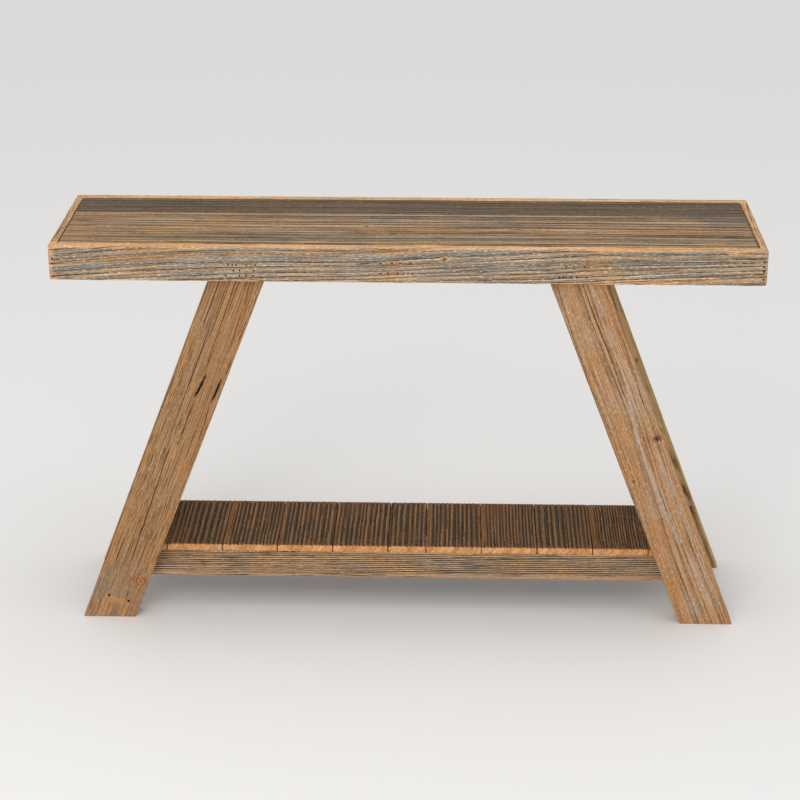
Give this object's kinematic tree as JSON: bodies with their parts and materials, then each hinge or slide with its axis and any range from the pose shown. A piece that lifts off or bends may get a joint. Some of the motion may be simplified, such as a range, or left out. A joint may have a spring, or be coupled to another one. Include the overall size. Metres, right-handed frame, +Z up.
{
  "type": "console table",
  "caption": "Rustic console table of weathered boards: a shallow box top on flat splayed legs, with a low shelf of slats.",
  "frame": {"origin": "on the floor, under the middle of the table", "axes": "+X to the right along the table's length, +Y to the back, +Z up"},
  "size_m": [1.219, 0.305, 0.717],
  "materials": {
    "apron_wood": "weathered softwood, grey bands between orange-brown ridges, bare",
    "end_board_wood": "lightly weathered softwood, orange-tan, bare",
    "deck_wood": "weathered softwood, grey-brown with warm edges, bare",
    "leg_wood": "weathered softwood, tan-brown with dark drying cracks, bare",
    "rail_wood": "weathered softwood, grey-brown, bare",
    "slat_wood": "strongly weathered softwood, charcoal brown with raised grain and fresh end cuts",
    "cleat_wood": "plain sawn softwood",
    "brad_steel": "darkened, lightly rusted steel",
    "screw_steel": "yellow zinc-plated steel"
  },
  "bodies": {
    "root": {"front_apron": "apron_wood", "back_apron": "apron_wood", "left_end_board": "end_board_wood", "right_end_board": "end_board_wood", "deck_board_front": "deck_wood", "deck_board_middle": "deck_wood", "deck_board_back": "deck_wood", "left_end_cleat": "cleat_wood", "centre_cleat": "cleat_wood", "right_end_cleat": "cleat_wood", "front_left_leg": "leg_wood", "front_right_leg": "leg_wood", "rear_left_leg": "leg_wood", "rear_right_leg": "leg_wood", "shelf_front_rail": "rail_wood", "shelf_back_rail": "rail_wood", "shelf_slat_1": "slat_wood", "shelf_slat_2": "slat_wood", "shelf_slat_3": "slat_wood", "shelf_slat_4": "slat_wood", "shelf_slat_5": "slat_wood", "shelf_slat_6": "slat_wood", "shelf_slat_7": "slat_wood", "shelf_slat_8": "slat_wood", "shelf_slat_9": "slat_wood", "shelf_slat_10": "slat_wood", "shelf_slat_11": "slat_wood", "front_apron_brads": "brad_steel", "back_apron_brads": "brad_steel", "slat_brads": "brad_steel", "deck_screws": "screw_steel", "end_cleat_screws": "screw_steel", "shelf_rail_screws": "screw_steel"}
  },
  "joints": []
}
